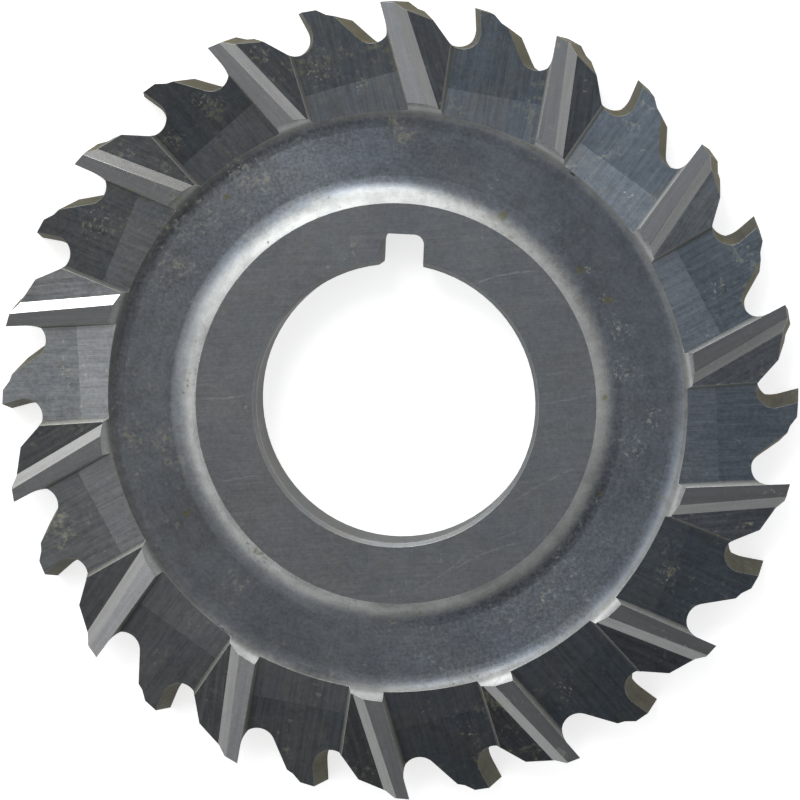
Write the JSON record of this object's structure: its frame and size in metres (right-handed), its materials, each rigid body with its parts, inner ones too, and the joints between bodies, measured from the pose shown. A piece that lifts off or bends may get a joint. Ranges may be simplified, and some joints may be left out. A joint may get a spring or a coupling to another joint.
{
  "type": "side milling cutter",
  "caption": "Staggered-tooth side milling cutter: flat steel ring with a raised hub, a keyed arbor bore and teeth that slant and gash to alternate sides.",
  "frame": {"origin": "middle of the arbor bore, on its axis and at mid width", "axes": "+Z along the arbor axis, out of the face that lies upwards; +Y through the middle of the keyway"},
  "size_m": [0.0634, 0.0634, 0.0048],
  "materials": {
    "tool_steel": "ground, with light stains"
  },
  "bodies": {
    "root": {"cutter": "tool_steel"}
  },
  "joints": []
}
